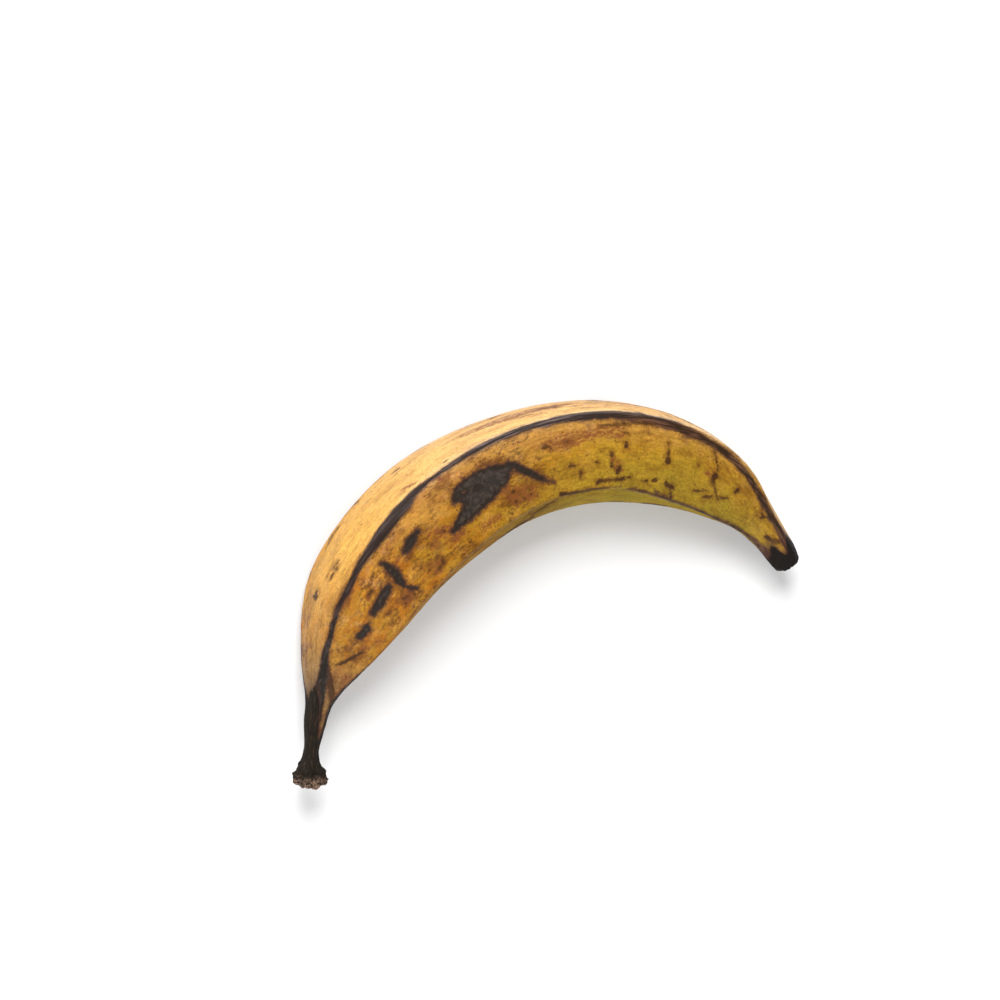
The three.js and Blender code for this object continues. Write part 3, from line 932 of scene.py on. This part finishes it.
to_stem = rise(tree, here_along, 70, 220, 0.45, -0.15)
orange_patches = patchy(oval, (0.2, 4.0, 0.6), 0.35, 0.65, -0.45, 0.55)
colour = mix(tree, maths(tree, "ADD", to_stem, orange_patches, clamp=True), OCHRE, ORANGE)
colour = paint(colour, OLIVE, greenness, patchy(here, (0.06, 3.0), 0.3, 0.65, 0.7, 1.0))
dull_patches = patchy(elsewhere, (0.2, 4.0, 0.65), 0.48, 0.68, 0.0, 0.55)
dull_share = times(dull_patches, rise(tree, greenness, 0.15, 0.5, 1.0, 0.2))
# The pink-tan patches are real colour, but they are laid on more strongly towards the top ridge as painted
# sheen.
colour = paint(colour, PINK_TAN, dull_share, rise(tree, here_side, -6.0, 12.0, 0.25, 1.3))
# Painted sheen: a pink-tan wash beside the top ridge, where the bright light above is reflected.
painted_sheen_by_top_ridge = times(rise(tree, here_side, 3.0, 15.0), rise(tree, here_along, 80, 110, 0.3, 1.0))
colour = paint(colour, PINK_TAN, painted_sheen_by_top_ridge, TOP_RIDGE_SHEEN)
golden = patchy(elsewhere, (0.12, 4.0, 0.6), 0.36, 0.5, 0.6, 0.0)
colour = paint(colour, GOLD, golden, rise(tree, greenness, 0.1, 0.6, 1.0, 0.25))
# Partly painted shade: besides its greener skin, the face turned inwards gets a deeper olive that stands in
# for the shade it lies in.
colour = paint(colour, MOSS_AND_SHADE, inwards, times(greenness, MOSS_AND_SHADE_SHARE))
print("nodes after the sound skin:", len(tree.nodes))

# %% [markdown]
# ### The pale outer side and the neck
# The outer side is peach, and cream over the middle of the fruit, with a painted highlight where the cream
# grows strongest close beside its ridges. The neck turns tan where it begins to dry. The zones stored with
# the mesh say where, and streaks of noise keep them from looking sprayed on.

# %% Pale side and neck
PEACH = linear("#DBA64E")
CREAM_AND_HIGHLIGHT = linear("#E2BF92")
TAN = linear("#94754A")
NECK_SHARE = 0.85

colour = paint(colour, PEACH, paleness, patchy(lengthwise, (0.3, 3.0), 0.3, 0.7, 0.6, 0.97))
# Partly painted highlight: the cream is strongest right beside the ridges, where light glints off their
# edges, and farther off it is the pale skin's own cream.
cream_and_ridge_highlight = times(times(paleness, between(90, 150, 238, 268)), rise(tree, ridge_away, 7.0, 1.0, 0.3, 0.85))
colour = paint(colour, CREAM_AND_HIGHLIGHT, cream_and_ridge_highlight)
neck = maths(tree, "MAXIMUM", rise(tree, stem_away, -24, -4), rise(tree, here_along, 60, 38))
colour = paint(colour, TAN, neck, NECK_SHARE)
print("nodes after the pale side:", len(tree.nodes))

# %% [markdown]
# ### Mottle, streaks and grain
# Close by, the skin is mottled brown, streaked along its fibres and grainy, and darker along the middle of
# the fruit off its pale side, most of all away from the top ridge.
# The mottle is a colour of its own. The others only darken or lighten what lies below, so they are
# multiplied in.

# %% Mottle and shade
MOTTLE = linear("#62380F")

mottle = patchy(oval, (0.15, 6.0, 0.72), 0.46, 0.66, 0.0, 0.85)
mottle = times(mottle, rise(tree, paleness, 0.0, 1.0, 1.0, 0.4))
colour = paint(colour, MOTTLE, mottle, rise(tree, greenness, 0.2, 0.6, 1.0, 0.5))
streak = patchy(lengthwise, (1.1, 3.0, 0.6), 0.25, 0.75, 0.84, 1.12)
grain = patchy(here, (0.9, 5.0, 0.8), 0.3, 0.7, 0.72, 1.2)
# Darker along the middle of the fruit, off the pale side, and most of all away from the top ridge.
darker_middle = times(between(75, 125, 158, 185), rise(tree, paleness, 0.0, 0.4, 1.0, 0.0))
darker_middle = times(darker_middle, rise(tree, here_side, 14.0, 8.0, 0.3, 1.0))
shade = times(times(streak, grain), rise(tree, darker_middle, 0.0, 1.0, 1.0, 0.82))
shade_colour = add(tree, "ShaderNodeCombineColor", {0: shade, 1: shade, 2: shade}).outputs[0]
colour = mix(tree, 1.0, colour, shade_colour, "MULTIPLY")
print("nodes after the shade:", len(tree.nodes))

# %% [markdown]
# ### Flecks and stains
# Freckles come in crowds, larger spots stand alone, worn skin has fine specks, and rusty smears run along
# the outer side. Noise thins out each strewing in places, because an even one looks printed.

# %% Flecks
FRECKLE = linear("#54300F")
FLECK = linear("#3A200E")
FRECKLE_SHARE, SPOT_SHARE = 0.75, 0.85

crowd = patchy(here, (0.05, 2.0), 0.40, 0.66, 0.08, 0.5)
freckles = flecks(tree, stretch(tree, here, (0.8, 1, 1)), 0.75, 0.42, crowd)
colour = paint(colour, FRECKLE, freckles, FRECKLE_SHARE)
worn_specks = times(patchy(oval, (0.7, 5.0, 0.75), 0.5, 0.6, 0.0, 0.7),
                    patchy(elsewhere, (0.11, 2.0), 0.42, 0.56))
worn_part = times(rise(tree, here_along, 190, 150, 0.25, 1.0), rise(tree, here_along, 62, 88, 0.4, 1.0))
worn_part = times(worn_part, rise(tree, paleness, 0.0, 0.5, 1.0, 0.0))
colour = paint(colour, FLECK, worn_specks, worn_part)
colour = paint(colour, FLECK, flecks(tree, oval, 0.15, 1.3, 0.12), SPOT_SHARE)
print("nodes after the flecks:", len(tree.nodes))

# %% Smears and stains
RUST = linear("#74401F")

smears = times(patchy(lengthwise, (0.55, 4.0, 0.65), 0.52, 0.68, 0.0, 0.8), paleness)
colour = paint(colour, RUST, smears, between(135, 165, 215, 250))
stained = ragged(tree, stain_away, here, 1.8, 1.3)
colour = paint(colour, RUST, stained, patchy(oval, (1.1, 3.0, 0.7), 0.40, 0.58, 0.2, 0.95))
print("nodes after the stains:", len(tree.nodes))

# %% [markdown]
# ### Bruises and scars
# A bruise is black at its rim and clouded grey inside, with a plum fringe and a brown halo where the juice
# spread. They all read distances to its edge, cut off at different reaches, and each is torn by its own
# noise. A scar is a plain dark line that has faded in places.

# %% Bruises and scars
PLUM = linear("#472A20")
BRUISE_RIM = linear("#221811")
BRUISE = linear("#29221E")
BRUISE_GREY = linear("#3F352E")
SCAR = linear("#3E250E")
HALO_SHARE, FRINGE_SHARE = 0.6, 0.85
HALO_REACH, FRINGE_REACH = 1.4, 0.7  # millimetres past the bruise's edge
SCAR_HALO = 0.6  # millimetres less that the halo reaches round a scar

knocked = maths(tree, "MINIMUM", bruise_away, maths(tree, "ADD", scar_away, SCAR_HALO))
halo = ragged(tree, knocked, here, 1.6, 1.4, HALO_REACH)
colour = paint(colour, MOTTLE, halo, HALO_SHARE)
fringe = ragged(tree, bruise_away, here, 1.8, 1.0, FRINGE_REACH)
colour = paint(colour, PLUM, fringe, FRINGE_SHARE)
bruised = ragged(tree, bruise_away, here, 1.1, 0.75)
clouded = patchy(here, (0.5, 3.0, 0.6), 0.38, 0.68)
rim = maths(tree, "ADD", bruise_away, patchy(elsewhere, (0.7, 3.0), 0.3, 0.7, -1.0, 1.0))
grey = mix(tree, clouded, BRUISE, BRUISE_GREY)
colour = paint(colour, mix(tree, rise(tree, rim, -0.9, -2.4, 0.12, 1.0), BRUISE_RIM, grey), bruised)
scarred = ragged(tree, scar_away, here, 0.8, 0.45, 0.05)
colour = paint(colour, SCAR, scarred, patchy(elsewhere, (0.12, 2.0), 0.35, 0.6, 0.75, 1.0))
print("nodes after the bruises:", len(tree.nodes))

# %% [markdown]
# ### Black ridges
# The bands are black near the stem and browner towards the other end, with lighter fibres where they were
# rubbed and a plum fringe that breaks into blotches over one stretch.

# %% Black ridges
BLACK_BAND = linear("#261A15")
BROWN_BAND = linear("#2E1D0F")
GREY_BAND = linear("#6A5A58")
BARK = linear("#1B150E")
BAND_FRINGE_SHARE, BLOTCH_SHARE, BROWN_FIBRES = 0.7, 0.8, 0.7
BAND_FRINGE_REACH, BLOTCH_REACH, BAND_REACH = 0.5, 0.8, -0.15  # millimetres

band_fringe = ragged(tree, band_away, oval, 1.1, 0.8, BAND_FRINGE_REACH)
colour = paint(colour, PLUM, band_fringe, BAND_FRINGE_SHARE)
blotched = ragged(tree, band_away, oval, 3.0, 0.9, BLOTCH_REACH)
blotched = times(blotched, between(190, 205, 222, 235))
colour = paint(colour, PLUM, blotched, BLOTCH_SHARE)
banded = ragged(tree, band_away, oval, 0.7, 0.5, BAND_REACH)
rubbed = rise(tree, rise(tree, here_along, 112, 145), 0, 1, 0.25, 1.0)
lit_fibres = times(patchy(fibrous, (0.9, 3.0, 0.6), 0.45, 0.68), rubbed)
brown_part = rise(tree, here_along, 185, 210)
black = mix(tree, rise(tree, here_along, 75, 50), mix(tree, brown_part, BLACK_BAND, BROWN_BAND), BARK)
fibre = mix(tree, times(brown_part, BROWN_FIBRES), GREY_BAND, MOTTLE)
colour = paint(colour, mix(tree, lit_fibres, black, fibre), banded)
print("nodes after the ridges:", len(tree.nodes))

# %% [markdown]
# ### The dry ends
# The stem is nearly black wood with lighter fibres, scorched plum where it meets the skin, and its torn
# face is pinkish brown. The blossom end is drier still, round a small grey disc where the flower fell off.

# %% The dry stem and the torn knob
BARK_LIGHT = linear("#4A3B2A")
TORN = linear("#A58570")
SCORCH_SHARE, SCORCH_REACH = 0.6, 3.5

grain_place = stretch(tree, here, (0.12, 1.2, 1.2))
not_stem = times(stem_away, -1.0)
scorched = ragged(tree, not_stem, grain_place, 3.0, 3.5, SCORCH_REACH)
colour = paint(colour, PLUM, scorched, SCORCH_SHARE)
woody = ragged(tree, not_stem, grain_place, 3.0, 1.0)
bark = mix(tree, patchy(fibrous, (1.2, 3.0, 0.65), 0.5, 0.75, 0.0, 0.7), BARK, BARK_LIGHT)
colour = paint(colour, bark, woody)
cut = rise(tree, here_along, 6.0, 1.0)
colour = paint(colour, TORN, cut, patchy(here, (1.0, 4.0, 0.7), 0.44, 0.6, 0.0, 0.9))
print("nodes after the stem:", len(tree.nodes))

# %% The dry blossom end
DRY_TIP = linear("#17110E")
SCAR_DISC = linear("#77665D")
DRYING_SHARE, DRYING_REACH = 0.75, 3.0

drying = ragged(tree, tip_away, oval, 3.0, 2.5, DRYING_REACH)
colour = paint(colour, PLUM, drying, DRYING_SHARE)
dry = ragged(tree, tip_away, oval, 2.4, 1.2)
colour = paint(colour, DRY_TIP, dry)
across_axis = stretch(tree, here, (0.0, 1.0, 1.0))
off_axis = add(tree, "ShaderNodeVectorMath", {0: across_axis}, operation="LENGTH").outputs["Value"]
disc = times(rise(tree, here_along, 297.5, 298.8), rise(tree, off_axis, 4.3, 3.6))
colour = paint(colour, SCAR_DISC, disc, patchy(here, (1.4, 3.0, 0.7), 0.38, 0.62, 0.1, 1.0))
print("nodes after the blossom end:", len(tree.nodes))

# %% [markdown]
# ### Relief and gloss
# Pores and creases are finer than the mesh, so they are bump and not geometry, in millimetres. The skin
# has a satin gloss. Bruises, the inner face and the dry ends are duller.

# %% Relief and gloss
# Heights in millimetres
PORES, CREASES, BARK_GROOVES, BAND_GROOVES = 0.05, 0.08, 0.5, 0.22
SCAR_RISE, BRUISE_SINK = 0.08, -0.06
BRUISE_DULL, INNER_DULL, DRY_DULL = 0.05, 0.4, 0.22  # added roughness
SPECULAR = 0.14

dry_parts = maths(tree, "MAXIMUM", woody, dry)
height = times(hills(tree, here, 2.2, 3.0, 0.6), PORES)
for part in (times(hills(tree, lengthwise, 1.0, 3.0, 0.6), CREASES),
             times(times(hills(tree, fibrous, 1.4, 3.0, 0.7), BARK_GROOVES), dry_parts),
             times(times(hills(tree, lengthwise, 1.2, 3.0, 0.7), BAND_GROOVES), banded),
             times(scarred, SCAR_RISE), times(bruised, BRUISE_SINK)):
    height = maths(tree, "ADD", height, part)
relief = add(tree, "ShaderNodeBump", {"Height": height, "Strength": 1.0, "Distance": MM})
gloss = patchy(here, (0.4, 3.0), 0.3, 0.7, 0.42, 0.56)
for part, dull in ((bruised, BRUISE_DULL), (inwards, INNER_DULL), (dry_parts, DRY_DULL)):
    gloss = maths(tree, "ADD", gloss, times(part, dull))
surface = add(tree, "ShaderNodeBsdfPrincipled",
              {"Base Color": colour, "Roughness": gloss, "Normal": relief.outputs["Normal"],
               "Specular IOR Level": SPECULAR})
add(tree, "ShaderNodeOutputMaterial", {"Surface": surface.outputs["BSDF"]})
print("nodes in the skin:", len(tree.nodes))

# %% [markdown]
# The piece now gets its material, rides on the frame's one body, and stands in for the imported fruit.

# %% Join the piece to the frame
fruit.data.materials.clear()
fruit.data.materials.append(skin)
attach(fruit, "root")
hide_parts("plantain")

# %% [markdown]
# ## Table, light and camera
# The table is plain and pale. One large soft light stands over the outer side of the fruit, so that this
# side is the bright one and the inner side falls off, and a weak one opens the shadows. The camera looks
# almost straight down, a little from the outer side, from 1.5 metres, through a long lens.

# %% The table
TABLE_SIZE = 6.0
TABLE_COLOUR, TABLE_ROUGHNESS = (0.86, 0.86, 0.86, 1), 0.9
bpy.ops.mesh.primitive_plane_add(size=TABLE_SIZE, location=(0, 0, 0))
table = bpy.context.object
table.name = "table"
paper = bpy.data.materials.new("table_paper")
paper.use_nodes = True
paper_shader = paper.node_tree.nodes["Principled BSDF"]
paper_shader.inputs["Base Color"].default_value = TABLE_COLOUR
paper_shader.inputs["Roughness"].default_value = TABLE_ROUGHNESS
table.data.materials.append(paper)

# %% Light
TARGET = Vector((0, 15, 20)) * MM  # a point inside the fruit, near the middle of its box
WORLD_COLOUR, WORLD_STRENGTH = (1, 1, 1, 1), 0.4


def area_light(name, azimuth, elevation, distance, size, power):
    """A square soft light that faces the fruit. Azimuth is counted from +X towards +Y."""
    data = bpy.data.lights.new(name, "AREA")
    data.size = size
    data.energy = power
    made = bpy.data.objects.new(name, data)
    bpy.context.collection.objects.link(made)
    turn, lifted = math.radians(azimuth), math.radians(elevation)
    level_way = Vector((math.cos(turn), math.sin(turn), 0)) * math.cos(lifted)
    way = level_way + Vector((0, 0, math.sin(lifted)))
    made.location = TARGET + way * distance
    made.rotation_euler = way.to_track_quat("Z", "Y").to_euler()


area_light("key_light", azimuth=92, elevation=44, distance=1.5, size=0.8, power=31)
area_light("fill_light", azimuth=245, elevation=40, distance=1.6, size=1.2, power=13)
world = bpy.data.worlds.new("studio")
world.use_nodes = True
background = world.node_tree.nodes["Background"]
background.inputs["Color"].default_value = WORLD_COLOUR
background.inputs["Strength"].default_value = WORLD_STRENGTH
bpy.context.scene.world = world
bpy.context.scene.view_settings.view_transform = "Standard"
print("lights:", [light.name for light in bpy.data.lights])

# %% [markdown]
# The camera is placed by two angles and a roll, and its lens follows from how many pixels a metre at the
# fruit should fill. That way the picture keeps its scale when the distance is changed.

# %% Camera
CAMERA_TILT = 22.4  # degrees off straight down
CAMERA_SIDE = 126.85  # degrees from +X towards +Y
CAMERA_ROLL = 19.5  # degrees
CAMERA_DISTANCE = 1.5  # metres
FRAME_SHIFT = Vector((-0.1, 9.2)) * MM  # from the target to the middle of the picture
PIXELS_A_METRE = 2547.6
PICTURE = 1000  # pixels
SENSOR = 36  # millimetres

tilt, side = math.radians(CAMERA_TILT), math.radians(CAMERA_SIDE)
back = Vector((math.sin(tilt) * math.cos(side), math.sin(tilt) * math.sin(side), math.cos(tilt)))
level = Vector((0, 1, 0)).cross(back).normalized()
upright = back.cross(level)
roll = math.radians(CAMERA_ROLL)
right = level * math.cos(roll) - upright * math.sin(roll)
top = level * math.sin(roll) + upright * math.cos(roll)
camera_data = bpy.data.cameras.new("camera")
camera_data.sensor_width = SENSOR
camera_data.lens = SENSOR * PIXELS_A_METRE * CAMERA_DISTANCE / PICTURE
camera = bpy.data.objects.new("camera", camera_data)
bpy.context.collection.objects.link(camera)
looked_at = TARGET + right * FRAME_SHIFT.x + top * FRAME_SHIFT.y
turned = Matrix((right, top, back)).transposed().to_4x4()
camera.matrix_world = Matrix.Translation(looked_at + back * CAMERA_DISTANCE) @ turned
bpy.context.scene.camera = camera
print("lens, mm:", round(camera_data.lens, 1))
